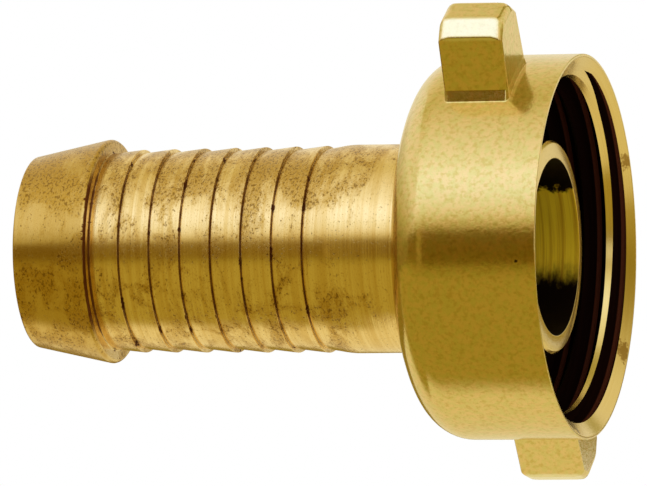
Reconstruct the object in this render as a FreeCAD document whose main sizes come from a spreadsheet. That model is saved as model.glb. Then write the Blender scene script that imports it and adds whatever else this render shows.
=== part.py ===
import FreeCAD, Part
import Sketcher
import math
import os

# Loose-nut hose coupling in brass: a barbed hose tail, a flat seal and a nut with two claws.
# Everything is turned about the X axis. The nut's mouth points to +X and the hose end to -X.
# X = 0 is the seat plane, the outer face of the seal, where the mating pipe's end stops.

doc = FreeCAD.newDocument("hose_coupling")
sizes = doc.addObject("Spreadsheet::Sheet", "sizes")

# Each row is a name, a size in millimetres or degrees, and what it measures.
driving_sizes = [
    ("neck_radius", 9.62, "plain neck that the hose reaches, for a 19 mm hose"),
    ("tail_wall", 1.48, "wall between the waterway and the plain neck"),
    ("tip_drop", 0.76, "hose end's edge below the neck, where the leading cone starts"),
    ("tip_break", 0.18, "broken edge round the hose end"),
    ("lead_cone_length", 7.39, "hose end's face to the leading barb's edge"),
    ("lead_edge_rise", 0.81, "leading barb's edge above the neck, before it is rounded"),
    ("lead_edge_round", 0.45, "rounding of the leading barb's edge"),
    ("lead_valley_drop", 0.57, "tail just behind the leading barb, below the neck"),
    ("first_barb_length", 2.84, "leading barb's edge to the first small edge"),
    ("first_barb_drop", 0.24, "edge of the small barb nearest the hose end, below the neck"),
    ("last_barb_drop", 0.07, "edge of the small barb nearest the nut, below the neck"),
    ("small_barb_length", 2.94, "one small barb along the axis"),
    ("small_barb_height", 0.34, "step down behind each small barb"),
    ("neck_ramp_length", 2.39, "last small barb to the plain neck"),
    ("neck_length", 7.59, "plain neck in front of the nut's rear face"),
    ("passing_gap", 0.05, "nut's rear hole over the leading barb's edge"),
    ("journal_gap", 0.09, "running gap of the nut's rear hole on its journal"),
    ("journal_overrun", 0.35, "journal past the nut's rear face"),
    ("flange_gap", 0.55, "running gap of the flange inside the nut's thread"),
    ("flange_thickness", 2.2, "flange that the nut pulls on, along the axis"),
    ("flange_break", 0.25, "broken edges of the flange"),
    ("spigot_rise", 0.21, "nose that centres the seal, above the neck"),
    ("spigot_reach", 4.75, "seat plane to the nose's face"),
    ("spigot_bevel", 0.72, "bevel round the nose"),
    ("seal_thickness", 2.0, "flat seal along the axis"),
    ("seal_outer_gap", 0.45, "gap round the seal inside the nut's thread"),
    ("seal_inner_gap", 0.2, "gap of the seal's hole round the nose"),
    ("mouth_reach", 7.6, "seat plane to the nut's mouth face"),
    ("nut_play", 0.7, "free travel of the nut behind the flange"),
    ("nut_floor_thickness", 2.1, "wall at the back of the nut"),
    ("floor_bevel", 0.4, "inside corner at the back of the nut"),
    ("thread_minor_radius", 15.15, "inside of the pipe thread's crests"),
    ("entry_flare", 1.67, "opening at the mouth face beyond the thread's crests"),
    ("entry_angle", 30.0, "entry cone to the axis"),
    ("rim_width", 0.93, "flat rim round the mouth"),
    ("rim_rise", 0.1, "outside of the rim above the outside of the nut's rear"),
    ("rim_break", 0.12, "broken edge round the mouth face"),
    ("shoulder_round", 3.95, "rounding of the nut's rear shoulder"),
    ("claw_height", 6.92, "claw's outer face above the nut, before it is rounded"),
    ("claw_width", 5.6, "claw across its outer face, before it is rounded"),
    ("claw_length", 6.1, "claw along the axis"),
    ("claw_draft", 5.0, "lean of each of the claw's broad sides"),
    ("claw_crown_round", 1.25, "rounding of the claw's two long outer edges"),
    ("claw_end_round", 0.6, "rounding round the claw's two end faces"),
    ("claw_root_round", 0.7, "fillet where the claw meets the nut"),
    ("upper_claw_setback", 7.1, "mouth face to the middle of the upper claw"),
    ("lower_claw_setback", 6.2, "mouth face to the middle of the lower claw"),
    ("upper_claw_angle", 28.5, "upper claw's lean from +Z towards -Y at rest"),
    ("lower_claw_angle", 32.9, "lower claw's lean from -Z towards +Y at rest"),
]
for row, (alias, value, meaning) in enumerate(driving_sizes, start=1):
    sizes.set("A%d" % row, alias)
    sizes.set("B%d" % row, "%g" % value)
    sizes.set("C%d" % row, meaning)
    sizes.setAlias("B%d" % row, alias)
doc.recompute()

small_barb_count = 7
tiny = 1e-4          # how near an edge's points lie to where they are looked for


def new_body(name):
    body = doc.addObject("PartDesign::Body", name)
    body.Label = name
    return body


def origin_feature(body, role):
    return next(item for item in body.Origin.OriginFeatures if item.Role == role)


def outline_sketch(body, name, plane, corners):
    """A closed outline of straight lines, each corner a pair of expressions."""
    sketch = body.newObject("Sketcher::SketchObject", name)
    sketch.AttachmentSupport = [(origin_feature(body, plane), "")]
    sketch.MapMode = "FlatFace"
    value = sketch.evalExpression
    points = [FreeCAD.Vector(value(across), value(up), 0) for across, up in corners]
    for start, end in zip(points, points[1:] + points[:1]):
        sketch.addGeometry(Part.LineSegment(start, end))
    for line in range(len(points)):
        sketch.addConstraint(Sketcher.Constraint("Coincident", line, 2, (line + 1) % len(points), 1))
    for line, (point, corner) in enumerate(zip(points, corners)):
        for direction, distance, expression in zip(("DistanceX", "DistanceY"), (point.x, point.y), corner):
            added = sketch.addConstraint(Sketcher.Constraint(direction, -1, 1, line, 1, distance))
            sketch.renameConstraint(added, "%s_%d" % (direction, line))
            sketch.setExpression("Constraints.%s_%d" % (direction, line), expression)
    return sketch


def turned(body, name, corners):
    """A full turn of a section, given as (along the axis, radius) corners, about X."""
    sketch = outline_sketch(body, name + "_section", "XY_Plane", corners)
    revolution = body.newObject("PartDesign::Revolution", name)
    revolution.Profile = sketch
    revolution.ReferenceAxis = (origin_feature(body, "X_Axis"), [""])
    revolution.Angle = 360
    sketch.Visibility = False
    return revolution


def rounded(body, name, chosen, radius_alias):
    """Rounds the edges of the body's tip that the test picks out."""
    doc.recompute()
    base = body.Tip
    edges = ["Edge%d" % number for number, edge in enumerate(base.Shape.Edges, start=1) if chosen(edge)]
    if not edges:
        raise RuntimeError("no edge found for " + name)
    fillet = body.newObject("PartDesign::Fillet", name)
    fillet.Base = (base, edges)
    fillet.setExpression("Radius", "sizes." + radius_alias)
    return fillet


def radius_of(point):
    return math.hypot(point.y, point.z)


def circle_at(body, along, radius):
    """Picks the circular edge about the X axis at this place and radius."""
    place = body.evalExpression(along)
    size = body.evalExpression(radius)

    def chosen(edge):
        if not isinstance(edge.Curve, Part.Circle):
            return False
        point = edge.Vertexes[0].Point
        return max(abs(point.x - place), abs(radius_of(point) - size), abs(edge.Curve.Radius - size)) < tiny
    return chosen


# Places along the axis, from the nut's mouth back to the hose end.
mouth = "sizes.mouth_reach"
flange_front = "(-sizes.seal_thickness)"
flange_back = "(%s - sizes.flange_thickness)" % flange_front
nut_floor = "(%s - sizes.nut_play)" % flange_back
nut_back = "(%s - sizes.nut_floor_thickness)" % nut_floor
neck_end = "(%s - sizes.neck_length)" % nut_back
last_barb = "(%s - sizes.neck_ramp_length)" % neck_end
first_barb = "(%s - %d * sizes.small_barb_length)" % (last_barb, small_barb_count - 1)
lead_edge = "(%s - sizes.first_barb_length)" % first_barb
hose_end = "(%s - sizes.lead_cone_length)" % lead_edge

# Radii that more than one corner or piece shares.
neck_radius = "sizes.neck_radius"
bore_radius = "(sizes.neck_radius - sizes.tail_wall)"
tip_radius = "(sizes.neck_radius - sizes.tip_drop)"
lead_edge_radius = "(sizes.neck_radius + sizes.lead_edge_rise)"
rear_hole_radius = "(%s + sizes.passing_gap)" % lead_edge_radius
journal_radius = "(%s - sizes.journal_gap)" % rear_hole_radius
spigot_radius = "(sizes.neck_radius + sizes.spigot_rise)"
thread_radius = "sizes.thread_minor_radius"
flange_radius = "(%s - sizes.flange_gap)" % thread_radius
mouth_radius = "(%s + sizes.entry_flare)" % thread_radius
rim_radius = "(%s + sizes.rim_width)" % mouth_radius
nut_radius = "(%s - sizes.rim_rise)" % rim_radius


def small_barb_corners():
    """Each small barb: its sharp edge, then the step down behind it."""
    corners = []
    for barb in range(small_barb_count):
        share = barb / (small_barb_count - 1)
        along = "%s + %d * sizes.small_barb_length" % (first_barb, barb)
        drop = "sizes.first_barb_drop + %.9g * (sizes.last_barb_drop - sizes.first_barb_drop)" % share
        edge = "%s - (%s)" % (neck_radius, drop)
        corners.append((along, edge))
        corners.append((along, edge + " - sizes.small_barb_height"))
    return corners


def make_hose_tail():
    body = new_body("hose_tail")
    journal_end = "(%s - sizes.journal_overrun)" % nut_back
    journal_foot = "(%s - (%s - %s))" % (journal_end, journal_radius, neck_radius)
    corners = [
        (hose_end, bore_radius),
        (hose_end, tip_radius + " - sizes.tip_break"),
        (hose_end + " + sizes.tip_break", tip_radius),
        (lead_edge, lead_edge_radius),
        (lead_edge, neck_radius + " - sizes.lead_valley_drop"),
    ]
    corners += small_barb_corners()
    corners += [
        (neck_end, neck_radius),
        (journal_foot, neck_radius),
        (journal_end, journal_radius),
        (flange_back, journal_radius),
        (flange_back, flange_radius + " - sizes.flange_break"),
        (flange_back + " + sizes.flange_break", flange_radius),
        (flange_front + " - sizes.flange_break", flange_radius),
        (flange_front, flange_radius + " - sizes.flange_break"),
        (flange_front, spigot_radius),
        ("sizes.spigot_reach - sizes.spigot_bevel", spigot_radius),
        ("sizes.spigot_reach", spigot_radius + " - sizes.spigot_bevel"),
        ("sizes.spigot_reach", bore_radius),
    ]
    turned(body, "tail_turning", corners)
    rounded(body, "lead_edge_rounding", circle_at(body, lead_edge, lead_edge_radius), "lead_edge_round")
    return body


def make_flat_seal():
    body = new_body("flat_seal")
    sketch = body.newObject("Sketcher::SketchObject", "seal_ring")
    sketch.AttachmentSupport = [(origin_feature(body, "YZ_Plane"), "")]
    sketch.MapMode = "FlatFace"
    outside = thread_radius + " - sizes.seal_outer_gap"
    hole = spigot_radius + " + sizes.seal_inner_gap"
    for circle, expression in enumerate((outside, hole)):
        radius = sketch.evalExpression(expression)
        sketch.addGeometry(Part.Circle(FreeCAD.Vector(0, 0, 0), FreeCAD.Vector(0, 0, 1), radius))
        sketch.addConstraint(Sketcher.Constraint("Coincident", circle, 3, -1, 1))
        added = sketch.addConstraint(Sketcher.Constraint("Radius", circle, radius))
        sketch.renameConstraint(added, "radius_%d" % circle)
        sketch.setExpression("Constraints.radius_%d" % circle, expression)
    pad = body.newObject("PartDesign::Pad", "seal_sheet")
    pad.Profile = sketch
    pad.Reversed = True          # the seal lies behind the seat plane
    pad.setExpression("Length", "sizes.seal_thickness")
    sketch.Visibility = False
    return body


def turn_nut(body):
    entry_end = "%s - sizes.entry_flare / tan(sizes.entry_angle * 1 deg)" % mouth
    turned(body, "nut_turning", [
        (nut_back, rear_hole_radius),
        (nut_back, nut_radius),
        (mouth + " - sizes.rim_break", rim_radius),
        (mouth, rim_radius + " - sizes.rim_break"),
        (mouth, mouth_radius),
        (entry_end, thread_radius),
        (nut_floor + " + sizes.floor_bevel", thread_radius),
        (nut_floor, thread_radius + " - sizes.floor_bevel"),
        (nut_floor, rear_hole_radius),
    ])
    rounded(body, "shoulder_rounding", circle_at(body, nut_back, nut_radius), "shoulder_round")


def add_claw(body, name, from_upright):
    """One claw, drawn upright in a plane of its own and leaned about the X axis.

    Its foot lies halfway into the nut's wall.
    """
    foot = "((%s + %s) / 2)" % (nut_radius, thread_radius)
    crown = "(%s + sizes.claw_height)" % nut_radius
    half_crown = "sizes.claw_width / 2"
    half_foot = "(%s + (%s - %s) * tan(sizes.claw_draft * 1 deg))" % (half_crown, crown, foot)
    middle = "(%s - sizes.%s_setback)" % (mouth, name)
    lean = "%g + sizes.%s_angle" % (from_upright, name)
    sketch = outline_sketch(body, name + "_outline", "YZ_Plane", [
        ("-" + half_foot, foot),
        (half_foot, foot),
        (half_crown, crown),
        ("-" + half_crown, crown),
    ])
    sketch.setExpression("AttachmentOffset.Base.z", middle)
    sketch.setExpression("AttachmentOffset.Rotation.Angle", lean)
    claw = body.newObject("PartDesign::Pad", name)
    claw.Profile = sketch
    claw.SideType = "Symmetric"
    claw.setExpression("Length", "sizes.claw_length")
    sketch.Visibility = False

    value = body.evalExpression
    upright = FreeCAD.Rotation(FreeCAD.Vector(1, 0, 0), -value(lean))
    centre = FreeCAD.Vector(value(middle), 0, 0)
    half_length = sizes.claw_length / 2
    half_width = value(half_foot)
    foot_radius = value(foot)
    crown_radius = value(crown)

    def own_points(edge, count):
        """Points of an edge as the claw's own place sees them, or none if one is outside the claw."""
        if edge.Length < tiny:
            return []
        points = [upright.multVec(point - centre) for point in edge.discretize(count)]
        inside = all(abs(point.x) < half_length + tiny and abs(point.y) < half_width + tiny
                     and foot_radius - tiny < point.z < crown_radius + tiny for point in points)
        return points if inside else []

    def on_crown(edge):
        points = own_points(edge, 3)
        return points and all(abs(point.z - crown_radius) < tiny for point in points)

    def long_crown_edge(edge):
        points = own_points(edge, 3)
        return on_crown(edge) and abs(points[0].y - points[-1].y) < tiny

    def on_end(edge):
        points = own_points(edge, 5)
        return points and all(abs(abs(point.x) - half_length) < tiny for point in points)

    def root_edge(edge):
        """Along the nut's surface, so every point is as far from the axis as the nut's skin there."""
        points = own_points(edge, 7)
        return points and all(radius_of(point) < value(rim_radius) + tiny for point in points)

    rounded(body, name + "_crown_rounding", long_crown_edge, "claw_crown_round")
    rounded(body, name + "_end_rounding", lambda edge: on_end(edge) and not root_edge(edge), "claw_end_round")
    rounded(body, name + "_root_fillet", root_edge, "claw_root_round")


def make_coupling_nut():
    body = new_body("coupling_nut")
    turn_nut(body)
    add_claw(body, "upper_claw", 0)
    add_claw(body, "lower_claw", 180)
    return body


sub_parts = [make_hose_tail(), make_flat_seal(), make_coupling_nut()]
doc.recompute()

for item in doc.Objects:
    if "Invalid" in item.State or "Error" in item.State:
        raise RuntimeError("%s failed: %s" % (item.Name, item.State))
for body in sub_parts:
    if body.Shape.isNull() or not body.Shape.isValid() or len(body.Shape.Solids) != 1:
        raise RuntimeError(body.Label + " has no sound solid")

os.makedirs("parts", exist_ok=True)
for body in sub_parts:
    body.Shape.exportStep("parts/%s.step" % body.Label)
    box = body.Shape.BoundBox
    print("%-14s volume %9.2f mm3  x %.2f..%.2f  y %.2f..%.2f  z %.2f..%.2f"
          % (body.Label, body.Shape.Volume, box.XMin, box.XMax, box.YMin, box.YMax, box.ZMin, box.ZMax))
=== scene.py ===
from math import atan2, cos, hypot, pi, radians, sin, sqrt, tan
import bmesh
import bpy
from mathutils import Matrix, Vector


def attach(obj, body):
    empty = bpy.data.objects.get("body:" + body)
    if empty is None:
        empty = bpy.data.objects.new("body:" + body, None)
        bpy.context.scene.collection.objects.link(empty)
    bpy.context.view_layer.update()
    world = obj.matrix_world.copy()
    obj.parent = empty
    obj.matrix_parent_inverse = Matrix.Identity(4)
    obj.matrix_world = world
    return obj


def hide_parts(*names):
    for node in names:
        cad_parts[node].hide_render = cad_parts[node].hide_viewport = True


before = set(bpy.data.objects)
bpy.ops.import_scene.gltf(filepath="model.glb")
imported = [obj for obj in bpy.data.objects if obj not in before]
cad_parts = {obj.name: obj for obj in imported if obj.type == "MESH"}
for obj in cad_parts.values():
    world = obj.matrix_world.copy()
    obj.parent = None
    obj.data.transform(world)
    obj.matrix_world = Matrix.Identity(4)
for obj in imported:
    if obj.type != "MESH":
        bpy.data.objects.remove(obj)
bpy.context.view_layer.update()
scene = bpy.context.scene
mm = 0.001


# Helpers shared by the pieces, whose sizes are in millimetres

turning = {"roundingSteps": 5, "mergeDistance": 1e-7, "sharpAngle": 32, "faceWeight": 60}


def outlineOf(bm, corners):
    # a closed section in the XZ plane, each corner (along, radius) or (along, radius, rounding)
    points = [bm.verts.new((corner[0] * mm, 0, corner[1] * mm)) for corner in corners]
    for first, second in zip(points, points[1:] + points[:1]):
        bm.edges.new((first, second))
    for point, corner in zip(points, corners):
        if len(corner) > 2:
            bmesh.ops.bevel(bm, geom=[point], offset=corner[2] * mm, offset_type="OFFSET",
                            segments=turning["roundingSteps"], profile=0.5, affect="VERTICES", material=-1)


def turnAboutX(bm, steps):
    bmesh.ops.spin(bm, geom=bm.verts[:] + bm.edges[:], cent=(0, 0, 0), axis=(1, 0, 0), angle=2 * pi,
                   steps=steps, use_merge=True, use_duplicate=False)
    bmesh.ops.remove_doubles(bm, verts=bm.verts[:], dist=turning["mergeDistance"])
    bmesh.ops.recalc_face_normals(bm, faces=bm.faces[:])


def finishedPiece(bm, name, materials, sharpAngle=turning["sharpAngle"]):
    mesh = bpy.data.meshes.new(name)
    bm.to_mesh(mesh)
    bm.free()
    for material in materials:
        mesh.materials.append(material)
    mesh.shade_smooth()
    mesh.set_sharp_from_angle(angle=radians(sharpAngle))
    piece = bpy.data.objects.new(name, mesh)
    scene.collection.objects.link(piece)
    return piece


def flattenShading(piece):
    # the large faces keep their own normals, so that only the roundings shade as round
    weighted = piece.modifiers.new("flattenShading", "WEIGHTED_NORMAL")
    weighted.mode = "FACE_AREA_WITH_ANGLE"
    weighted.weight = turning["faceWeight"]
    weighted.keep_sharp = True


def addNode(tree, kind, inputs=None, **settings):
    # inputs maps a socket's name or number to a number, a colour or another node's socket
    added = tree.nodes.new("ShaderNode" + kind)
    for setting, value in settings.items():
        setattr(added, setting, value)
    for socket, value in (inputs or {}).items():
        if isinstance(value, bpy.types.NodeSocket):
            tree.links.new(value, added.inputs[socket])
        else:
            added.inputs[socket].default_value = value
    return added


def calculate(tree, operation, first, second=0.0, third=0.0):
    return addNode(tree, "Math", {0: first, 1: second, 2: third}, operation=operation).outputs[0]


def brighter(tree, first, second):
    return calculate(tree, "MAXIMUM", first, second)


def smoothStep(tree, value, low, high):
    # 0 at low, 1 at high
    return addNode(tree, "MapRange", {"Value": value, "From Min": low, "From Max": high},
                   interpolation_type="SMOOTHSTEP").outputs["Result"]


def smoothStepMm(tree, value, low, high):
    return smoothStep(tree, value, low * mm, high * mm)


def mixColour(tree, share, first, second):
    return addNode(tree, "Mix", {0: share, 6: first, 7: second}, data_type="RGBA").outputs[2]


def layOver(tree, mask, strength, colour, over):
    # over, with a coat of colour on it where the mask is 1
    return mixColour(tree, calculate(tree, "MULTIPLY", mask, strength), over, colour)


def objectPlace(tree):
    return addNode(tree, "TexCoord").outputs["Object"]


def coordinate(tree, axis):
    return addNode(tree, "SeparateXYZ", {0: objectPlace(tree)}).outputs[axis]


def alongX(tree):
    return coordinate(tree, "X")


def acrossY(tree):
    return coordinate(tree, "Y")


def heightZ(tree):
    return coordinate(tree, "Z")


def aroundX(tree):
    # distance from the axis
    flat = addNode(tree, "CombineXYZ", {"Y": acrossY(tree), "Z": heightZ(tree)})
    return addNode(tree, "VectorMath", {0: flat.outputs[0]}, operation="LENGTH").outputs["Value"]


def stretchedNoise(tree, place, scale, detail=3.0, roughness=0.55, distortion=0.0):
    # scale is features per metre along X, Y and Z
    mapped = addNode(tree, "Mapping", {"Vector": place, "Scale": scale})
    return addNode(tree, "TexNoise", {"Vector": mapped.outputs["Vector"], "Scale": 1.0, "Detail": detail,
                                      "Roughness": roughness, "Distortion": distortion}).outputs["Fac"]


def lineMask(tree, distance, width):
    # 1 on the line, 0 past its width, with a soft edge
    share = calculate(tree, "DIVIDE", calculate(tree, "ABSOLUTE", distance), width)
    return smoothStep(tree, share, 1.0, 0.45)


markEdge = {"grain": ((2600, 2600, 2600), 4.0, 0.65), "raggedness": 2.2, "outside": 2.0, "inside": 1.5}


def markMask(tree, place, mark):
    # one ragged spot of dirt, 1 inside it, its middle and its reach in millimetres
    middle = tuple(value * mm for value in mark["middle"])
    shape = tuple(1 / (value * mm) for value in mark["reach"])
    away = addNode(tree, "VectorMath", {0: place, 1: middle}, operation="SUBTRACT")
    away = addNode(tree, "VectorMath", {0: away.outputs[0], 1: shape}, operation="MULTIPLY")
    length = addNode(tree, "VectorMath", {0: away.outputs[0]}, operation="LENGTH").outputs["Value"]
    ragged = stretchedNoise(tree, place, *markEdge["grain"])
    length = calculate(tree, "MULTIPLY_ADD", ragged, markEdge["raggedness"], length)
    return smoothStep(tree, length, markEdge["outside"], markEdge["inside"])


def bumpNormal(tree, bump, height):
    # bump is (strength, distance in metres)
    strength, distance = bump
    bumped = addNode(tree, "Bump", {"Strength": strength, "Distance": distance, "Height": height})
    return bumped.outputs["Normal"]


def newMaterial(name):
    material = bpy.data.materials.new(name)
    material.use_nodes = True
    material.node_tree.nodes.clear()
    return material, material.node_tree


def closeMaterial(tree, kind, inputs):
    shader = addNode(tree, kind, inputs)
    addNode(tree, "OutputMaterial", {"Surface": shader.outputs[0]})


# Hose tail

hoseTail = {
    "hoseEnd": -44.85, "boreRadius": 8.14, "boreRound": 0.08, "tipRadius": 8.82, "tipBreak": 0.18,
    "leadEdge": -37.46, "leadEdgeRadius": 10.43, "leadEdgeOffset": 0.45,
    "leadValleyRadius": 9.05, "leadValleyRound": 0.15,
    "barbCount": 7, "barbPitch": 2.94, "barbStep": 0.34, "barbRound": 0.04,
    "firstBarb": -34.62, "firstBarbRadius": 9.38, "lastBarbRadius": 9.55,
    "neckStart": -14.59, "neckRadius": 9.62, "neckRound": 0.6, "journalEnd": -7.35, "journalRadius": 10.39,
    "flangeBack": -4.2, "flangeFront": -2.0, "flangeRadius": 14.6, "flangeBreak": 0.25,
    "noseRadius": 9.83, "noseEnd": 4.75, "noseBevel": 0.23, "noseSlope": 0.14, "noseRound": 0.06,
    "steps": 256, "sharpAngle": 24,
}


def barbEdges():
    spread = hoseTail["lastBarbRadius"] - hoseTail["firstBarbRadius"]
    for barb in range(hoseTail["barbCount"]):
        along = hoseTail["firstBarb"] + barb * hoseTail["barbPitch"]
        yield along, hoseTail["firstBarbRadius"] + spread * barb / (hoseTail["barbCount"] - 1)


tarnishAndShade = {
    "gold": (0.89, 0.68, 0.32, 1), "deepGold": (0.76, 0.53, 0.19, 1), "brown": (0.45, 0.24, 0.014, 1),
    "speck": (0.17, 0.075, 0.008, 1), "grimeAndShade": (0.10, 0.018, 0.004, 1), "leadBarb": (0.62, 0.41, 0.10, 1),
    "nose": (0.72, 0.54, 0.18, 1), "boreGold": (1.0, 0.74, 0.03, 1), "boreStreak": (0.68, 0.40, 0.01, 1),
    "boreDark": (0.010, 0.005, 0.003, 1),
    "leadShare": 0.8, "stainShare": 0.55, "fineSpeckShare": 0.55, "speckShare": 0.65, "grimeAndShadeShare": 0.95,
    # how much more stain there is on the leading barb, upper and lower side, and how much less on the neck
    "onLead": 0.06, "onUpperSide": 0.14, "onLowerSide": 0.05, "offNeck": 0.09, "specksInStain": 0.12,
    "upperSide": (2.8, 5.8), "lowerSide": (-1.5, -4.5), "neckFade": (0.5, 3.0), "colourEdge": 0.1,
    # the noise levels between which each one fades in
    "stainLevels": (0.48, 0.68), "speckLevels": (0.65, 0.71), "fineSpeckLevels": (0.60, 0.68),
    "streakLevels": (0.32, 0.68), "boreStreakLevels": (0.42, 0.66), "blotLevels": (0.60, 0.70),
    "lineWidth": 0.085, "lineRaggedness": 1.3, "lineLeast": 0.2, "lineOffset": 0.06, "lineFade": (9.2, 5.5),
    "fadedLine": 0.35, "blotWidth": 0.24, "cornerWidth": 0.24, "lipDepth": 0.46, "lipOffset": 0.06,
    "boreMargin": 0.04, "boreDarkTop": 5.2, "boreDarkTopEdge": (-0.15, 0.35), "boreDarkBottom": -1.7,
    "boreDarkBottomEdge": (-0.6, 2.0), "boreDarkRaggedness": 2.6, "boreDarkBottomRagged": 1.3,
    "roughness": 0.18, "stainRoughness": 0.10, "grimeAndShadeRoughness": 0.3, "boreRoughness": 0.35,
    "boreDullness": 0.45, "pitDepth": 0.8, "bump": (0.5, 0.000018),
}
tarnishAndShadeGrain = {        # features per metre along X, Y and Z, detail, roughness, distortion
    "toolMarks": ((8000, 45, 45), 3.0, 0.6), "streaks": ((2600, 50, 50), 4.0, 0.6),
    "patches": ((380, 240, 240), 6.0, 0.68, 0.6), "specks": ((4600, 3300, 3300), 3.0, 0.6),
    "fineSpecks": ((7000, 5200, 5200), 3.0, 0.6), "lines": ((2500, 700, 700), 5.0, 0.7),
    "blots": ((160, 620, 620), 4.0, 0.6), "boreDark": ((1100, 1500, 240), 5.0, 0.68),
}


def grimeAndShadeMask(tree, place):
    # lines of dirt and painted shade in the barbs' steps, in the corner behind the leading barb and on its
    # lip
    size, dirtAndShade = hoseTail, tarnishAndShade
    along = alongX(tree)
    radius = aroundX(tree)
    height = calculate(tree, "ABSOLUTE", heightZ(tree))
    faded = smoothStepMm(tree, height, *dirtAndShade["lineFade"])       # the lines thin out towards top and bottom
    ragged = stretchedNoise(tree, place, *tarnishAndShadeGrain["lines"])
    blots = smoothStep(tree, stretchedNoise(tree, place, *tarnishAndShadeGrain["blots"]), *dirtAndShade["blotLevels"])
    width = calculate(tree, "MULTIPLY_ADD", ragged, dirtAndShade["lineWidth"] * dirtAndShade["lineRaggedness"] * mm,
                      dirtAndShade["lineWidth"] * dirtAndShade["lineLeast"] * mm)
    thinned = calculate(tree, "MULTIPLY_ADD", faded, 1 - dirtAndShade["fadedLine"], dirtAndShade["fadedLine"])
    width = calculate(tree, "MULTIPLY", width, thinned)
    width = calculate(tree, "MULTIPLY_ADD", blots, (dirtAndShade["blotWidth"] - dirtAndShade["lineWidth"]) * mm, width)

    firstLine = (size["firstBarb"] + dirtAndShade["lineOffset"]) * mm
    barb = calculate(tree, "DIVIDE", calculate(tree, "SUBTRACT", along, firstLine), size["barbPitch"] * mm)
    nearest = calculate(tree, "MAXIMUM", calculate(tree, "ROUND", barb), 0.0)
    nearest = calculate(tree, "MINIMUM", nearest, size["barbCount"] - 1.0)
    fromBarb = calculate(tree, "MULTIPLY", calculate(tree, "SUBTRACT", barb, nearest), size["barbPitch"] * mm)
    lines = lineMask(tree, fromBarb, width)

    fromEdge = calculate(tree, "SUBTRACT", along, size["leadEdge"] * mm)
    fromValley = calculate(tree, "SUBTRACT", radius, size["leadValleyRadius"] * mm)
    squares = [calculate(tree, "POWER", side, 2.0) for side in (fromEdge, fromValley)]
    fromCorner = calculate(tree, "SQRT", calculate(tree, "ADD", *squares))
    wide = calculate(tree, "MULTIPLY", width, dirtAndShade["cornerWidth"] / dirtAndShade["lineWidth"])
    corner = lineMask(tree, fromCorner, wide)
    onLip = calculate(tree, "GREATER_THAN", radius, (size["leadEdgeRadius"] - dirtAndShade["lipDepth"]) * mm)
    fromLip = calculate(tree, "ADD", fromEdge, dirtAndShade["lipOffset"] * mm)
    lip = calculate(tree, "MULTIPLY", lineMask(tree, fromLip, wide), onLip)
    lip = calculate(tree, "MULTIPLY", lip, faded)
    return brighter(tree, brighter(tree, lines, corner), lip)


def boreMasks(tree, place):
    # 1 inside the bore, and 1 where its top and bottom are darkened to near black
    size, dirtAndShade = hoseTail, tarnishAndShade
    inside = calculate(tree, "LESS_THAN", aroundX(tree), (size["boreRadius"] + dirtAndShade["boreMargin"]) * mm)
    height = heightZ(tree)
    ragged = calculate(tree, "SUBTRACT", stretchedNoise(tree, place, *tarnishAndShadeGrain["boreDark"]), 0.5)
    ragged = calculate(tree, "MULTIPLY", ragged, dirtAndShade["boreDarkRaggedness"] * mm)
    fromTop = calculate(tree, "SUBTRACT", height, dirtAndShade["boreDarkTop"] * mm)
    top = smoothStepMm(tree, calculate(tree, "ADD", fromTop, ragged), *dirtAndShade["boreDarkTopEdge"])
    fromBottom = calculate(tree, "SUBTRACT", dirtAndShade["boreDarkBottom"] * mm, height)
    fromBottom = calculate(tree, "MULTIPLY_ADD", ragged, dirtAndShade["boreDarkBottomRagged"], fromBottom)
    bottom = smoothStepMm(tree, fromBottom, *dirtAndShade["boreDarkBottomEdge"])
    return inside, calculate(tree, "MULTIPLY", inside, brighter(tree, top, bottom))


def stainMask(tree, place, onLead, onNose):
    # the stain is thickest along the upper side of the barbs, thinner on the neck, and none is on the nose
    size, dirtAndShade = hoseTail, tarnishAndShade
    height = heightZ(tree)
    onNeck = smoothStepMm(tree, alongX(tree), *(size["neckStart"] + step for step in dirtAndShade["neckFade"]))
    upper = smoothStepMm(tree, height, *dirtAndShade["upperSide"])
    lower = smoothStepMm(tree, height, *dirtAndShade["lowerSide"])
    lift = calculate(tree, "SUBTRACT", calculate(tree, "MULTIPLY", onLead, dirtAndShade["onLead"]),
                     calculate(tree, "MULTIPLY", onNeck, dirtAndShade["offNeck"]))
    lift = calculate(tree, "MULTIPLY_ADD", upper, dirtAndShade["onUpperSide"], lift)
    lift = calculate(tree, "MULTIPLY_ADD", lower, dirtAndShade["onLowerSide"], lift)
    lift = calculate(tree, "SUBTRACT", lift, onNose)
    patches = stretchedNoise(tree, place, *tarnishAndShadeGrain["patches"])
    return smoothStep(tree, calculate(tree, "ADD", patches, lift), *dirtAndShade["stainLevels"])


def speckMask(tree, place, grain, stain, levels):
    specks = stretchedNoise(tree, place, *tarnishAndShadeGrain[grain])
    specks = calculate(tree, "MULTIPLY_ADD", stain, tarnishAndShade["specksInStain"], specks)
    return smoothStep(tree, specks, *tarnishAndShade[levels])


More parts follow.
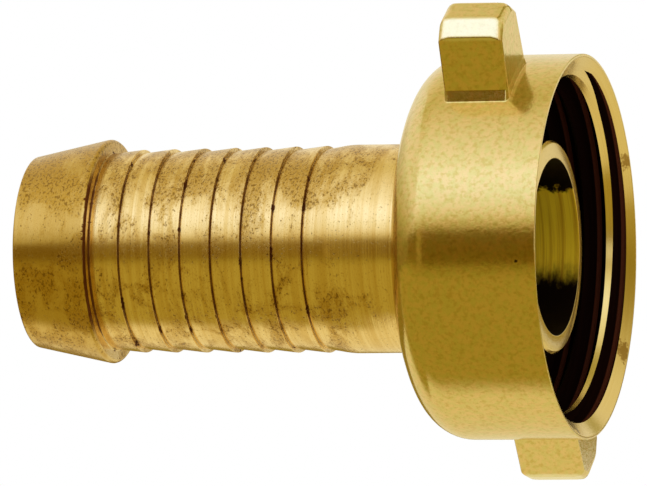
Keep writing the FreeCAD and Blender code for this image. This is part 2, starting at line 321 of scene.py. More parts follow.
def turnedBrass():
    material, tree = newMaterial("turnedBrass")
    place = objectPlace(tree)
    size, dirtAndShade = hoseTail, tarnishAndShade
    along, edge = alongX(tree), dirtAndShade["colourEdge"]
    streaks = stretchedNoise(tree, place, *tarnishAndShadeGrain["streaks"])
    onLead = smoothStepMm(tree, along, size["leadEdge"] + edge, size["leadEdge"] - edge)
    onNose = smoothStepMm(tree, along, size["flangeFront"] - edge, size["flangeFront"] + edge)
    stain = stainMask(tree, place, onLead, onNose)
    fineSpecks = speckMask(tree, place, "fineSpecks", stain, "fineSpeckLevels")
    specks = speckMask(tree, place, "specks", stain, "speckLevels")
    grimeAndShade = grimeAndShadeMask(tree, place)
    inBore, boreDark = boreMasks(tree, place)

    colour = mixColour(tree, smoothStep(tree, streaks, *dirtAndShade["streakLevels"]), dirtAndShade["gold"], dirtAndShade["deepGold"])
    colour = layOver(tree, onLead, dirtAndShade["leadShare"], dirtAndShade["leadBarb"], colour)
    colour = layOver(tree, stain, dirtAndShade["stainShare"], dirtAndShade["brown"], colour)
    colour = layOver(tree, fineSpecks, dirtAndShade["fineSpeckShare"], dirtAndShade["brown"], colour)
    colour = layOver(tree, specks, dirtAndShade["speckShare"], dirtAndShade["speck"], colour)
    colour = mixColour(tree, onNose, colour, dirtAndShade["nose"])
    # dark lines of dirt and painted shade in the barbs' steps and corners
    colour = layOver(tree, grimeAndShade, dirtAndShade["grimeAndShadeShare"], dirtAndShade["grimeAndShade"], colour)
    boreColour = mixColour(tree, smoothStep(tree, streaks, *dirtAndShade["boreStreakLevels"]), dirtAndShade["boreGold"],
                           dirtAndShade["boreStreak"])
    colour = mixColour(tree, inBore, colour, boreColour)
    # the bore's top and bottom darkened to near black
    colour = mixColour(tree, boreDark, colour, dirtAndShade["boreDark"])

    roughness = calculate(tree, "MULTIPLY_ADD", stain, dirtAndShade["stainRoughness"], dirtAndShade["roughness"])
    roughness = calculate(tree, "MULTIPLY_ADD", grimeAndShade, dirtAndShade["grimeAndShadeRoughness"], roughness)
    roughness = calculate(tree, "MULTIPLY_ADD", inBore, dirtAndShade["boreRoughness"], roughness)
    plainBore = calculate(tree, "SUBTRACT", inBore, boreDark)
    metallic = calculate(tree, "MULTIPLY_ADD", plainBore, -dirtAndShade["boreDullness"], 1.0)
    toolMarks = stretchedNoise(tree, place, *tarnishAndShadeGrain["toolMarks"])
    pits = calculate(tree, "SUBTRACT", toolMarks, calculate(tree, "MULTIPLY", specks, dirtAndShade["pitDepth"]))
    closeMaterial(tree, "BsdfPrincipled", {
        "Base Color": colour, "Metallic": metallic, "Roughness": roughness,
        "Normal": bumpNormal(tree, dirtAndShade["bump"], pits),
    })
    return material


def makeHoseTail():
    size = hoseTail
    corners = [
        (size["hoseEnd"], size["boreRadius"], size["boreRound"]),
        (size["hoseEnd"], size["tipRadius"], size["tipBreak"]),
        (size["leadEdge"], size["leadEdgeRadius"], size["leadEdgeOffset"]),
        (size["leadEdge"], size["leadValleyRadius"], size["leadValleyRound"]),
    ]
    for along, radius in barbEdges():
        corners.append((along, radius, size["barbRound"]))
        corners.append((along, radius - size["barbStep"], size["barbRound"]))
    corners += [
        (size["neckStart"], size["neckRadius"], size["neckRound"]),
        (size["journalEnd"] - size["journalRadius"] + size["neckRadius"], size["neckRadius"]),
        (size["journalEnd"], size["journalRadius"]),
        (size["flangeBack"], size["journalRadius"]),
        (size["flangeBack"], size["flangeRadius"], size["flangeBreak"]),
        (size["flangeFront"], size["flangeRadius"], size["flangeBreak"]),
        (size["flangeFront"], size["noseRadius"]),
        (size["noseEnd"] - size["noseSlope"] - size["noseBevel"], size["noseRadius"]),
        (size["noseEnd"] - size["noseSlope"], size["noseRadius"] - size["noseBevel"], size["noseRound"]),
        (size["noseEnd"], size["boreRadius"], size["boreRound"]),
    ]
    bm = bmesh.new()
    outlineOf(bm, corners)
    turnAboutX(bm, size["steps"])
    piece = finishedPiece(bm, "turned_hose_tail", [turnedBrass()], size["sharpAngle"])
    flattenShading(piece)
    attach(piece, "tail")
    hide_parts("hose_tail")
    print("hose tail made")


# Flat seal

flatSeal = {
    "front": 0.0, "back": -2.0, "outerRadius": 14.7, "holeRadius": 10.03, "softening": 0.2, "steps": 160,
    "dark": (0.022, 0.021, 0.020, 1), "light": (0.045, 0.042, 0.040, 1), "grain": ((5000, 5000, 5000), 4.0),
    "roughness": 0.62, "bump": (0.4, 0.00004),
}


def sealRubber():
    material, tree = newMaterial("sealRubber")
    look = flatSeal
    grain = stretchedNoise(tree, objectPlace(tree), *look["grain"])
    closeMaterial(tree, "BsdfPrincipled", {
        "Base Color": mixColour(tree, grain, look["dark"], look["light"]), "Roughness": look["roughness"],
        "Normal": bumpNormal(tree, look["bump"], grain),
    })
    return material


def makeFlatSeal():
    size = flatSeal
    corners = []
    for face, edge in (("back", "holeRadius"), ("back", "outerRadius"),
                       ("front", "outerRadius"), ("front", "holeRadius")):
        corners.append((size[face], size[edge], size["softening"]))
    bm = bmesh.new()
    outlineOf(bm, corners)
    turnAboutX(bm, size["steps"])
    piece = finishedPiece(bm, "rubber_seal", [sealRubber()])
    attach(piece, "tail")
    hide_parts("flat_seal")
    print("flat seal made")


# Coupling nut

couplingNut = {
    "back": -7.0, "floor": -4.9, "mouth": 7.6, "backRadius": 17.65, "rimRadius": 17.744,
    "rearHole": 10.48, "rearHoleRound": 0.1, "shoulderRound": 3.95, "shoulderSteps": 14,
    "rimBreak": 0.08, "mouthRadius": 17.45, "mouthRound": 0.05, "entryEnd": 6.3, "entryEndRadius": 15.83,
    "crestStart": 4.6, "threadMinor": 15.15, "floorBevel": 0.4, "rowSpacing": 0.45, "steps": 256,
    "sharpAngle": 28, "skinMargin": 0.1, "floorMargin": 0.01,
}
nutFinish = {"blasted": 0, "cut": 1, "shadedThread": 2}       # the nut's material slots
pipeThread = {
    "pitch": 2.309, "rootRadius": 16.72, "flankAngle": 27.5, "rootAtFarSide": 6.69, "rootWidth": 0.52,
    "flankEnd": (0.13, 0.25),           # out from the root's width, and below the root's radius
    "roundEnd": (0.7, 0.05),            # share of the root's width, and below the root's radius
    "insideCrest": 0.25, "turnsOut": 1.5, "turnsIn": 3.3, "stepsPerTurn": 128,
}
claw = {
    "crownRadius": 24.74, "halfWidth": 2.8, "halfLength": 3.05, "draft": 5.0, "crownChamfer": 1.3,
    "chamferRound": 0.5, "chamferCells": 3, "endRound": 0.95, "cornerRound": 0.38, "cornerLeast": 0.1,
    "cornerCells": 4, "footReach": 0.44, "footHeight": 0.85, "footRound": 0.14, "footRings": 4,
    "footAtEnds": 0.2,                  # share of the foot's reach that the claw's ends have
    "facetRings": (0.9, 1.0, 1.1),      # rings at the top of the foot's facet, as shares of its height
    "roomAlong": 0.12, "roomAcross": 0.25,      # from the foot to the edge of the hole in the skin
}
claws = [{"middle": 0.5, "lean": 28.5}, {"middle": 1.4, "lean": 180 + 32.9}]     # lean from +Z towards -Y


def nutSkin(along):
    # radius of the nut's outside
    size = couplingNut
    share = (along - size["back"]) / (size["mouth"] - size["back"])
    radius = size["backRadius"] + share * (size["rimRadius"] - size["backRadius"])
    past = size["back"] + size["shoulderRound"] - along
    if past > 0:
        radius -= size["shoulderRound"] - sqrt(max(0.0, size["shoulderRound"] ** 2 - past ** 2))
    return radius


blasted = {
    "brass": (0.685, 0.565, 0.205, 1), "warmBrass": (0.77, 0.56, 0.235, 1), "mottle": (0.54, 0.39, 0.08, 1),
    "speck": (0.10, 0.06, 0.02, 1), "worn": (0.93, 0.90, 0.68, 1),
    "mottleShare": 0.55, "speckShare": 0.7, "wornShare": 0.55,
    "tintLevels": (0.35, 0.65), "mottleLevels": (0.54, 0.32), "speckLevels": (0.80, 0.86),
    "wornRaggedness": 0.2, "wornBand": (-0.22, 0.08), "wornEnd": (0.1, 0.7),
    "roughness": 0.12, "cloudRoughness": 0.06, "bump": (0.6, 0.000014),
}
blastedGrain = {        # features per metre along X, Y and Z, detail, roughness
    "mottle": ((2300, 2300, 2300), 3.0, 0.6), "tint": ((1500, 1500, 1500), 2.0),
    "clouds": ((260, 260, 260), 4.0), "specks": ((1700, 1700, 1700), 2.0), "worn": ((700, 700, 700), 3.0),
}
skinPit = {"middle": (5.83, -17.7, -1.23), "reach": (0.2, 0.4, 0.2), "colour": (0.09, 0.05, 0.012, 1)}


def wornChamfer(tree, place, spot):
    # 1 on the chamfers beside a claw's crown, where height and distance from the middle add up to one value
    size, look = claw, blasted
    upright = addNode(tree, "Mapping", {"Vector": place, "Rotation": (-radians(spot["lean"]), 0, 0)})
    split = addNode(tree, "SeparateXYZ", {0: upright.outputs["Vector"]})
    along = calculate(tree, "ABSOLUTE", calculate(tree, "SUBTRACT", split.outputs["X"], spot["middle"] * mm))
    across = calculate(tree, "ABSOLUTE", split.outputs["Y"])
    total = calculate(tree, "ADD", across, split.outputs["Z"])
    ragged = stretchedNoise(tree, place, *blastedGrain["worn"])
    total = calculate(tree, "MULTIPLY_ADD", ragged, look["wornRaggedness"] * mm, total)
    chamfer = size["crownRadius"] + size["halfWidth"] - size["crownChamfer"]
    worn = smoothStepMm(tree, total, *(chamfer + step for step in look["wornBand"]))
    clearOfEnds = smoothStepMm(tree, along, *(size["halfLength"] - step for step in look["wornEnd"]))
    return calculate(tree, "MULTIPLY", worn, clearOfEnds)


def blastedBrass():
    material, tree = newMaterial("blastedBrass")
    place = objectPlace(tree)
    look = blasted
    mottle, tint, clouds, specks = (stretchedNoise(tree, place, *blastedGrain[grain])
                                    for grain in ("mottle", "tint", "clouds", "specks"))
    colour = mixColour(tree, smoothStep(tree, tint, *look["tintLevels"]), look["brass"], look["warmBrass"])
    mottled = smoothStep(tree, mottle, *look["mottleLevels"])
    colour = layOver(tree, mottled, look["mottleShare"], look["mottle"], colour)
    specked = smoothStep(tree, specks, *look["speckLevels"])
    colour = layOver(tree, specked, look["speckShare"], look["speck"], colour)
    for spot in claws:
        colour = layOver(tree, wornChamfer(tree, place, spot), look["wornShare"], look["worn"], colour)
    colour = mixColour(tree, markMask(tree, place, skinPit), colour, skinPit["colour"])
    roughness = calculate(tree, "MULTIPLY_ADD", clouds, look["cloudRoughness"], look["roughness"])
    closeMaterial(tree, "BsdfPrincipled", {
        "Base Color": colour, "Metallic": 1.0, "Roughness": roughness,
        "Normal": bumpNormal(tree, look["bump"], mottle),
    })
    return material


cutMetal = {
    "light": (0.78, 0.61, 0.25, 1), "deep": (0.68, 0.49, 0.15, 1), "grease": (0.03, 0.012, 0.006, 1),
    "toolMarks": ((8000, 60, 60), 2.0), "shadeEdge": 4.9, "shadeFade": 0.5, "deepShadeShare": 0.97,
    "markShare": 0.85, "roughness": 0.22, "bump": (0.25, 0.00001),
}
mouthMarks = [
    {"middle": (7.45, 15.4, 7.9), "reach": (0.9, 1.3, 1.0), "colour": (0.28, 0.15, 0.02, 1)},
    {"middle": (7.3, 13.9, -9.7), "reach": (0.9, 1.3, 1.9), "colour": (0.28, 0.15, 0.02, 1)},
    {"middle": (7.3, -2.4, -16.9), "reach": (0.7, 0.9, 0.6), "colour": (0.09, 0.05, 0.01, 1)},
]


def cutBrass():
    # bright on the two entry cones, with painted shade further in
    material, tree = newMaterial("cutBrass")
    look = cutMetal
    place = objectPlace(tree)
    toolMarks = stretchedNoise(tree, place, *look["toolMarks"])
    farIn = smoothStepMm(tree, alongX(tree), look["shadeEdge"], look["shadeEdge"] - look["shadeFade"])
    colour = mixColour(tree, toolMarks, look["light"], look["deep"])
    # painted shade deeper in the nut, past the entry cones
    colour = layOver(tree, farIn, look["deepShadeShare"], look["grease"], colour)
    for mark in mouthMarks:
        colour = layOver(tree, markMask(tree, place, mark), look["markShare"], mark["colour"], colour)
    closeMaterial(tree, "BsdfPrincipled", {
        "Base Color": colour, "Metallic": 1.0, "Roughness": look["roughness"],
        "Normal": bumpNormal(tree, look["bump"], toolMarks),
    })
    return material


paintedThreadShade = {
    "black": (0.002, 0.001, 0.001, 1), "brownBlack": (0.010, 0.003, 0.002, 1),
    "reddish": (0.075, 0.020, 0.010, 1), "rootEdge": (-0.16, -0.06),
    "streaks": ((5000, 120, 120), 3.0), "roughness": 0.6,
}


def threadGrease():
    # painted shade fills the thread's grooves, black on the flanks, with a reddish painted highlight along
    # the root
    material, tree = newMaterial("threadGrease")
    look = paintedThreadShade
    streaks = stretchedNoise(tree, objectPlace(tree), *look["streaks"])
    colour = mixColour(tree, streaks, look["black"], look["brownBlack"])
    root = smoothStepMm(tree, aroundX(tree), *(pipeThread["rootRadius"] + step for step in look["rootEdge"]))
    # a reddish painted highlight along the thread's root
    colour = mixColour(tree, root, colour, look["reddish"])
    closeMaterial(tree, "BsdfPrincipled", {
        "Base Color": colour, "Roughness": look["roughness"], "Specular IOR Level": 0.0,
    })
    return material


def angleFrom(lean, spot):
    # angle about the axis from a claw's middle to a spot, between -pi and pi
    return (atan2(-spot.y, spot.z) - lean + pi) % (2 * pi) - pi


def ringOrder(ring, lean):
    # the hole's points in a walk round it from its corner (+along, -across), then how many cells an end
    # and a side have
    low, high = min(vert.co.x for vert in ring), max(vert.co.x for vert in ring)
    near = 1e-6

    def across(vert):
        return angleFrom(lean, vert.co)
    mouthEnd = sorted((vert for vert in ring if vert.co.x > high - near), key=across)
    backEnd = sorted((vert for vert in ring if vert.co.x < low + near), key=across, reverse=True)
    between = [vert for vert in ring if low + near < vert.co.x < high - near]
    between.sort(key=lambda vert: vert.co.x)
    lowSide = [vert for vert in between if across(vert) < 0]
    highSide = [vert for vert in reversed(between) if across(vert) > 0]
    return mouthEnd + highSide + backEnd + lowSide, len(mouthEnd) - 1, len(highSide) + 1


def roundedRectangle(endCells, sideCells, halfLength, halfWidth, cornerLength, cornerWidth):
    # points in the order that ringOrder walks, starting in the middle of the corner (+along, -across)
    cells = claw["cornerCells"]
    points = []
    for side in range(4):
        count = endCells if side % 2 == 0 else sideCells
        straight = (halfWidth - cornerWidth) if side % 2 == 0 else (halfLength - cornerLength)
        for number in range(count):
            if number < cells:
                turn = radians(45) * (1 - number / cells)
                inset, slide, reach = 1 - cos(turn), -straight, -sin(turn)
            elif number > count - cells:
                turn = radians(45) * (number - count + cells) / cells
                inset, slide, reach = 1 - cos(turn), straight, sin(turn)
            else:
                share = (number - cells) / (count - 2 * cells)
                inset, slide, reach = 0.0, straight * (2 * share - 1), 0.0
            if side % 2 == 0:
                along, across = halfLength - cornerLength * inset, slide + cornerWidth * reach
            else:
                along, across = -(slide + cornerLength * reach), halfWidth - cornerWidth * inset
            flip = 1 if side < 2 else -1
            points.append((flip * along, flip * across))
    return points


def crownSteps():
    # (in from the end wall, drop there, in from the side wall, drop there) from the wall to the crown's flat
    size = claw
    chamfer, soft, arc = size["crownChamfer"], size["chamferRound"], size["endRound"]
    reach = soft * tan(radians(45 / 2))     # what the rounding takes of the chamfer and of the flat beside it
    side = []
    for number in range(size["chamferCells"] + 1):
        turn = radians(45 * number / size["chamferCells"])
        side.append((soft * (1 - cos(turn)), chamfer + reach - soft * sin(turn)))
    side += [(drop, into) for into, drop in reversed(side)]
    for number, (sideIn, sideDrop) in enumerate(side):
        turn = pi / 2 * number / (len(side) - 1)
        yield arc * (1 - cos(turn)), arc * (1 - sin(turn)), sideIn, sideDrop


def dropAt(distance, steps):
    # drop of the crown's edge at a distance in from its wall
    for (nearIn, nearDrop), (farIn, farDrop) in zip(steps, steps[1:]):
        if distance < farIn:
            share = max(0.0, distance - nearIn) / (farIn - nearIn)
            return nearDrop + share * (farDrop - nearDrop)
    return 0.0


def footSteps():
    # (outward, lift) from the barrel through a small rounding and up a steep facet to the wall
    size = claw
    steepness = atan2(size["footHeight"], size["footReach"])
    start = size["footReach"] + size["footRound"] * tan(steepness / 2)
    for number in range(size["footRings"] + 1):
        turn = steepness * number / size["footRings"]
        yield start - size["footRound"] * sin(turn), size["footRound"] * (1 - cos(turn))
    for share in size["facetRings"]:
        yield size["footReach"] * max(0.0, 1 - share), size["footHeight"] * share


def wallWidth(height):
    # half of a claw's width at a height above the axis
    return claw["halfWidth"] + (claw["crownRadius"] - height) * tan(radians(claw["draft"]))


def clawRings(endCells, sideCells, middle):
    # each ring is a list of (along, across, height above the axis), with the claw upright
    size = claw
    steps = list(crownSteps())
    endSteps = [(step[0], step[1]) for step in steps]
    sideSteps = [(step[2], step[3]) for step in steps]

    def ring(lengthOut, widthOut, heightOf):
        footWidth = wallWidth(couplingNut["backRadius"])
        cornerLength = max(size["cornerRound"] + lengthOut, size["cornerLeast"])
        cornerWidth = max(size["cornerRound"] + widthOut, size["cornerLeast"])
        outline = roundedRectangle(endCells, sideCells, size["halfLength"] + lengthOut, footWidth + widthOut,
                                   cornerLength, cornerWidth)
        points = []
        for along, across in outline:
            shrunk = across
            for _ in range(4):          # width and height depend on each other
                height = heightOf(along, shrunk)
                shrunk = across * (wallWidth(height) + widthOut) / (footWidth + widthOut)
            points.append((middle + along, shrunk, height))
        return points

    def belowCrown(along, across):
        endDrop = dropAt(size["halfLength"] - abs(along), endSteps)
        height = size["crownRadius"] - endDrop
        for _ in range(2):
            height = size["crownRadius"] - endDrop - dropAt(wallWidth(height) - abs(across), sideSteps)
        return height

    rings = []
    for outward, lift in footSteps():
        def onSkin(along, across, lift=lift):
            radius = nutSkin(middle + along) + lift
            return sqrt(radius ** 2 - across ** 2)
        rings.append(ring(outward * size["footAtEnds"], outward, onSkin))
    for endIn, _, sideIn, _ in steps:
        rings.append(ring(-endIn, -sideIn, belowCrown))
    return rings


def raiseClaw(bm, middle, lean):
    # a hole is cut in the barrel's skin where the claw stands, and its border is drawn up ring by ring
    size = claw
    leanAngle = radians(lean)
    footEdge = size["footReach"] + size["footRound"]
    reach = size["halfLength"] + footEdge + size["roomAlong"]
    footWidth = wallWidth(couplingNut["backRadius"])
    spread = atan2(footWidth + footEdge + size["roomAcross"], couplingNut["backRadius"])

    def inFootprint(face):
        spot = face.calc_center_median()
        outer = hypot(spot.y, spot.z) > nutSkin(spot.x / mm) * mm - couplingNut["skinMargin"] * mm
        return outer and abs(spot.x / mm - middle) < reach and abs(angleFrom(leanAngle, spot)) < spread
    footprint = [face for face in bm.faces if inFootprint(face)]
    border = {edge for face in footprint for edge in face.edges
              if sum(other in footprint for other in edge.link_faces) == 1}
    bmesh.ops.delete(bm, geom=footprint, context="FACES")
    ring, endCells, sideCells = ringOrder(list({vert for edge in border for vert in edge.verts}), leanAngle)
    upright = Matrix.Rotation(leanAngle, 4, "X")
    edges = list(border)
    for points in clawRings(endCells, sideCells, middle):
        grown = bmesh.ops.extrude_edge_only(bm, edges=edges)["geom"]
        newVerts = {item for item in grown if isinstance(item, bmesh.types.BMVert)}
        edges = [item for item in grown if isinstance(item, bmesh.types.BMEdge)
                 and all(vert in newVerts for vert in item.verts)]
        nextRing = []
        for vert in ring:
            nextRing.append(next(edge.other_vert(vert) for edge in vert.link_edges
                                 if edge.other_vert(vert) in newVerts))
        for vert, (along, across, height) in zip(nextRing, points):
            vert.co = upright @ (Vector((along, -across, height)) * mm)
        ring = nextRing
    bmesh.ops.contextual_create(bm, geom=edges)


def threadCutter():
    size = pipeThread
    root, halfRoot = size["rootRadius"], size["rootWidth"] / 2
    inner = couplingNut["threadMinor"] - size["insideCrest"]
    flankOut, flankDepth = size["flankEnd"]
    roundShare, roundDepth = size["roundEnd"]
    oneSide = [
        (halfRoot + (root - inner) * tan(radians(size["flankAngle"])), inner),
        (halfRoot + flankOut, root - flankDepth),
        (halfRoot * roundShare, root - roundDepth),
    ]
    otherSide = [(-along, radius) for along, radius in oneSide]
    section = [otherSide[0], *oneSide, (0.0, root), otherSide[2], otherSide[1]]
    bm = bmesh.new()
    # the section starts at the far side, turnsOut turns beyond the mouth, and winds inwards
    start = size["rootAtFarSide"] + size["turnsOut"] * size["pitch"]
    points = [bm.verts.new(((start + along) * mm, radius * mm, 0)) for along, radius in section]
    bm.faces.new(points)
    steps = round((size["turnsOut"] + size["turnsIn"]) * size["stepsPerTurn"])
    partTurn = size["turnsOut"] % 1         # half a turn puts the start on the other side
    bmesh.ops.rotate(bm, verts=bm.verts[:], cent=(0, 0, 0), matrix=Matrix.Rotation(2 * pi * partTurn, 3, "X"))
    bmesh.ops.spin(bm, geom=bm.faces[:] + bm.edges[:] + bm.verts[:], cent=(0, 0, 0), axis=(-1, 0, 0),
                   dvec=(-size["pitch"] * mm / size["stepsPerTurn"], 0, 0),
                   angle=2 * pi * steps / size["stepsPerTurn"], steps=steps,
                   use_merge=False, use_duplicate=False)
    bmesh.ops.recalc_face_normals(bm, faces=bm.faces[:])
    for face in bm.faces:
        # the groove faces take the thread's painted shade
        face.material_index = nutFinish["shadedThread"]
    return finishedPiece(bm, "thread_cutter", [])


def nutOutline():
    size = couplingNut
    shoulderEnd = size["back"] + size["shoulderRound"]
    rows = round((size["mouth"] - shoulderEnd) / size["rowSpacing"])
    corners = [(size["back"], size["rearHole"], size["rearHoleRound"])]
    for number in range(size["shoulderSteps"] + 1):
        turn = pi / 2 * number / size["shoulderSteps"]
        along = shoulderEnd - size["shoulderRound"] * cos(turn)
        corners.append((along, nutSkin(along)))
    for row in range(1, rows):
        along = shoulderEnd + (size["mouth"] - shoulderEnd) * row / rows
        corners.append((along, nutSkin(along)))
    return corners + [
        (size["mouth"], size["rimRadius"], size["rimBreak"]),
        (size["mouth"], size["mouthRadius"], size["mouthRound"]),
        (size["entryEnd"], size["entryEndRadius"], size["mouthRound"]),
        (size["crestStart"], size["threadMinor"]),
        (size["floor"], size["threadMinor"], size["floorBevel"]),
        (size["floor"], size["rearHole"], size["rearHoleRound"]),
    ]


def makeCouplingNut():
    size = couplingNut
    bm = bmesh.new()
    outlineOf(bm, nutOutline())
    turnAboutX(bm, size["steps"])
    for face in bm.faces:
        spot = face.calc_center_median()
        along, radius = spot.x / mm, hypot(spot.y, spot.z) / mm
        inside = radius < min(size["mouthRadius"], nutSkin(along) - size["skinMargin"])
        cut = inside and along > size["floor"] - size["floorMargin"]
        face.material_index = nutFinish["cut" if cut else "blasted"]
    for place in claws:
        raiseClaw(bm, place["middle"], place["lean"])
    bmesh.ops.recalc_face_normals(bm, faces=bm.faces[:])
    materials = [blastedBrass(), cutBrass(), threadGrease()]        # in the order of nutFinish
    blank = finishedPiece(bm, "nut_blank", materials)
    print("nut blank made")

    cutter = threadCutter()
    for material in materials:
        cutter.data.materials.append(material)
    thread = blank.modifiers.new("thread", "BOOLEAN")
    thread.operation = "DIFFERENCE"
    thread.solver = "EXACT"
    thread.object = cutter
    depsgraph = bpy.context.evaluated_depsgraph_get()
    bm = bmesh.new()
    bm.from_mesh(bpy.data.meshes.new_from_object(blank.evaluated_get(depsgraph)))
    bpy.data.objects.remove(blank)
    bpy.data.objects.remove(cutter)
    piece = finishedPiece(bm, "blasted_coupling_nut", materials, size["sharpAngle"])
    flattenShading(piece)
    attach(piece, "nut")
    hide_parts("coupling_nut")
    print("coupling nut made", len(piece.data.polygons), "faces")


# Camera, at the photo's view

photoView = {
    "azimuth": 16.1, "roll": 0.6, "focalPixels": 20000.0, "pixelsPerMm": 10.88, "width": 647, "height": 486,
    "mouthAcross": 585.9, "mouthDown": 246.6, "sensorWidth": 36, "clipStart": 0.01, "clipEnd": 10,
}


def placeCamera():
    # the middle of the nut's mouth shows at the pixel (mouthAcross, mouthDown)
    look = photoView
    angle, roll = radians(look["azimuth"]), radians(look["roll"])
    back = Vector((sin(angle), -cos(angle), 0))
    level = Vector((cos(angle), sin(angle), 0))
    upright = Vector((0, 0, 1))
    right = level * cos(roll) - upright * sin(roll)
    up = upright * cos(roll) + level * sin(roll)
    distance = look["focalPixels"] / look["pixelsPerMm"] * mm
    across = (look["mouthAcross"] - look["width"] / 2) / look["pixelsPerMm"] * mm
    down = (look["mouthDown"] - look["height"] / 2) / look["pixelsPerMm"] * mm
    place = Vector((couplingNut["mouth"] * mm, 0, 0)) + back * distance - right * across + up * down
    camera = bpy.data.objects.new("photoCamera", bpy.data.cameras.new("photoCamera"))
    scene.collection.objects.link(camera)
    camera.matrix_world = Matrix.Translation(place) @ Matrix((right, up, back)).transposed().to_4x4()
    camera.data.sensor_width = look["sensorWidth"]
    camera.data.lens = look["focalPixels"] * look["sensorWidth"] / look["width"]
    camera.data.clip_start, camera.data.clip_end = look["clipStart"], look["clipEnd"]
    scene.camera = camera
    print("camera placed")


# Floor and studio, in metres. Stops are (place, colour): degrees above the horizon on the light and the shade
# over the object, and metres along X, Y or Z on the other cards

studio = {
    "floorHeight": -0.030, "floorWidth": 1.0, "floorColour": (0.86, 0.86, 0.85, 1), "floorRoughness": 0.8,
    "cardGap": 0.0003, "arcSteps": 48, "worldTone": (0.8, 0.8, 0.8, 1), "backdrop": (1, 1, 1, 1),
}
softLight = {
    "angles": (10, 184), "radius": 0.35, "ends": (-0.5, 0.5),
    "stops": ((10, (0.38, 0.28, 0.04)), (12.5, (0.56, 0.46, 0.19)), (16, (0.80, 0.71, 0.42)),
              (20, (0.99, 0.95, 0.82)), (26, (1.08, 1.12, 1.12)), (34, (1.20, 1.30, 1.55)),
              (44, (1.26, 1.36, 1.66)), (54, (1.12, 1.16, 1.20)), (66, (1.02, 1.02, 0.94)),
              (79, (0.93, 0.88, 0.68)), (92, (0.82, 0.74, 0.46)), (100, (0.76, 0.67, 0.35)),
              (115, (0.82, 0.74, 0.45)), (129, (0.92, 0.84, 0.60)), (150, (0.97, 0.92, 0.76)),
              (184, (0.92, 0.85, 0.60))),
}
backShade = {
    "angles": (76, 172), "radius": 0.30, "ends": (0.07, 0.12),
    "stops": ((76, (0.42, 0.37, 0.08)), (172, (0.42, 0.37, 0.08))),
}
frontCard = {       # dark, with a paler stretch that the hose tail shows
    "angles": (-9.5, 10), "radius": 0.165, "ends": (-0.25, 0.06),
    "stops": ((-0.25, (0.23, 0.145, 0.010)), (-0.102, (0.23, 0.145, 0.010)), (-0.092, (0.38, 0.27, 0.05)),
              (-0.064, (0.38, 0.27, 0.05)), (-0.056, (0.19, 0.115, 0.006))),
}
floorCards = {      # tan in front and pale behind, from a line of its own under each part of the object
    "parts": (("tail", -0.5, -0.017, -0.002), ("nut", -0.017, 0.03, -0.0112),
              ("right", 0.03, 0.14, 0.005), ("far_right", 0.14, 0.5, 0.25)),      # name, left, right, line
    "near": -0.7, "far": 0.30, "softness": 0.0025, "front": (-0.16, (0.33, 0.25, 0.03)),
    "tanStart": -0.09, "tan": (0.455, 0.354, 0.062), "pale": (0.90, 0.81, 0.50),
    "paleStop": 0.10, "paleRun": 0.01, "palerTone": (0.88, 0.80, 0.52), "farTone": (0.74, 0.64, 0.32),
}
rearCards = {       # dark behind the hose end, for the nut's rear shoulder
    "parts": (("rear_card", -0.03, 0.035, 0.30), ("rear_side_card", -0.064, -0.002, 0.035)),
    "left": -0.30,                      # the parts are name, right, near, far
    "stops": ((-0.002, (0.32, 0.22, 0.025)), (0.30, (0.32, 0.22, 0.025))),
}
leftCard = {
    "along": -0.25, "near": -0.30, "far": 0.30, "top": 0.30,
    "stops": ((-0.03, (0.26, 0.18, 0.03)), (0.01, (0.32, 0.24, 0.05)), (0.05, (0.62, 0.54, 0.25)),
              (0.14, (1.0, 0.98, 0.9))),
}
rightCard = {
    "along": 0.25, "near": -0.30, "far": 0.20, "top": 0.30,
    "stops": ((-0.03, (0.50, 0.40, 0.10)), (0.02, (0.33, 0.245, 0.025)), (0.08, (0.45, 0.36, 0.10)),
              (0.15, (0.85, 0.78, 0.50)), (0.22, (1.0, 0.98, 0.9))),
}


def flatSquare(width):
    bm = bmesh.new()
    bmesh.ops.create_grid(bm, x_segments=1, y_segments=1, size=width / 2)
    return bm


def stagePiece(bm, name, material, seenByCamera):
    piece = finishedPiece(bm, name, [material])
    piece.visible_camera = seenByCamera
    if not seenByCamera:
        piece.visible_shadow = False
    return piece


def makeFloor():
    material, tree = newMaterial("paleFloor")
    closeMaterial(tree, "BsdfPrincipled", {
        "Base Color": studio["floorColour"], "Roughness": studio["floorRoughness"],
    })
    bm = flatSquare(studio["floorWidth"])
    bmesh.ops.translate(bm, verts=bm.verts[:], vec=(0, 0, studio["floorHeight"]))
    stagePiece(bm, "floor", material, True)
    print("floor made")


def elevation(tree):
    # degrees above the horizon, seen from the X axis towards the front
    forward = calculate(tree, "MULTIPLY", acrossY(tree), -1.0)
    return calculate(tree, "DEGREES", calculate(tree, "ARCTAN2", heightZ(tree), forward))


def glowMaterial(name, measure, stops):
    # a light whose colour follows a measure of the place on it
    material, tree = newMaterial(name)
    first, last = stops[0][0], stops[-1][0]
    brightest = max(max(colour) for _, colour in stops)
    share = addNode(tree, "MapRange", {"Value": measure(tree), "From Min": first, "From Max": last})
    ramp = addNode(tree, "ValToRGB", {0: share.outputs["Result"]})
    elements = ramp.color_ramp.elements
    while len(elements) < len(stops):
        elements.new(0.5)
    for element, (place, colour) in zip(elements, stops):
        element.position = (place - first) / (last - first)
        element.color = (*(level / brightest for level in colour), 1)
    closeMaterial(tree, "Emission", {"Color": ramp.outputs["Color"], "Strength": brightest})
    return material


def arcCard(name, card, material):
    # a strip bent about the X axis, its angles above the horizon in front of the object
    low, high = card["angles"]
    angle, radius = radians(low), card["radius"]
    bm = bmesh.new()
    ends = [bm.verts.new((end, -radius * cos(angle), radius * sin(angle))) for end in card["ends"]]
    edge = bm.edges.new(ends)
    bmesh.ops.spin(bm, geom=[*ends, edge], cent=(0, 0, 0), axis=(-1, 0, 0), angle=radians(high - low),
                   steps=studio["arcSteps"], use_merge=False, use_duplicate=False)
    stagePiece(bm, name, material, False)


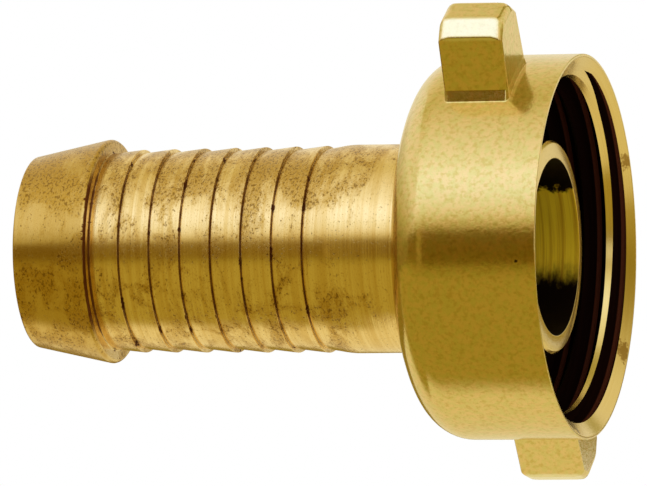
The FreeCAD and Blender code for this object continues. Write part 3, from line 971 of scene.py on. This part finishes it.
def floorCard(name, left, right, near, far, layer, material):
    # lies just over the floor, from near to far along Y
    height = studio["floorHeight"] + layer * studio["cardGap"]
    bm = flatSquare(1.0)
    bmesh.ops.scale(bm, verts=bm.verts[:], vec=(right - left, far - near, 1))
    bmesh.ops.translate(bm, verts=bm.verts[:], vec=((left + right) / 2, (near + far) / 2, height))
    card = stagePiece(bm, name, material, False)
    card.visible_diffuse = False        # it shows in the metal and leaves the floor plain


def sideCard(name, card, material):
    # stands on the floor across the X axis
    near, far, top, low = card["near"], card["far"], card["top"], studio["floorHeight"]
    bm = flatSquare(1.0)
    bmesh.ops.rotate(bm, verts=bm.verts[:], cent=(0, 0, 0), matrix=Matrix.Rotation(radians(-90), 3, "Y"))
    bmesh.ops.scale(bm, verts=bm.verts[:], vec=(1, far - near, top - low))
    bmesh.ops.translate(bm, verts=bm.verts[:], vec=(card["along"], (near + far) / 2, (top + low) / 2))
    stagePiece(bm, name, material, False)


def makeLights():
    # one large soft light over the object, and toned cards below and beside it for the metal to show
    arcCard("soft_light", softLight, glowMaterial("softLight", elevation, softLight["stops"]))
    arcCard("back_shade", backShade, glowMaterial("backShade", elevation, backShade["stops"]))
    arcCard("front_card", frontCard, glowMaterial("frontShade", alongX, frontCard["stops"]))
    look = floorCards
    for name, left, right, line in look["parts"]:
        ground = (look["front"], (look["tanStart"], look["tan"]), (line - look["softness"], look["tan"]),
                  (line + look["softness"], look["pale"]),
                  (max(look["paleStop"], line + look["paleRun"]), look["palerTone"]),
                  (look["far"], look["farTone"]))
        floorCard(name + "_floor_card", left, right, look["near"], look["far"], 1,
                  glowMaterial(name + "Floor", acrossY, ground))
    for name, right, near, far in rearCards["parts"]:
        floorCard(name, rearCards["left"], right, near, far, 2,
                  glowMaterial(name + "Shade", acrossY, rearCards["stops"]))
    sideCard("left_card", leftCard, glowMaterial("leftCard", heightZ, leftCard["stops"]))
    sideCard("right_card", rightCard, glowMaterial("rightCard", heightZ, rightCard["stops"]))
    print("lights made")


def makeWorld():
    # a plain grey fill, with the white backdrop that the camera, metal and glass see
    world = bpy.data.worlds.new("studioWorld")
    scene.world = world
    world.use_nodes = True
    tree = world.node_tree
    tree.nodes.clear()
    path = addNode(tree, "LightPath")
    seen = brighter(tree, path.outputs["Is Camera Ray"], path.outputs["Is Glossy Ray"])
    seen = brighter(tree, seen, path.outputs["Is Transmission Ray"])
    plain = addNode(tree, "Background", {"Color": studio["worldTone"], "Strength": 1.0})
    white = addNode(tree, "Background", {"Color": studio["backdrop"], "Strength": 1.0})
    mixed = addNode(tree, "MixShader", {0: seen, 1: plain.outputs[0], 2: white.outputs[0]})
    addNode(tree, "OutputWorld", {"Surface": mixed.outputs[0]})
    print("studio made")


makeHoseTail()
makeFlatSeal()
makeCouplingNut()
placeCamera()
makeFloor()
makeLights()
makeWorld()
scene.view_settings.view_transform = "Standard"
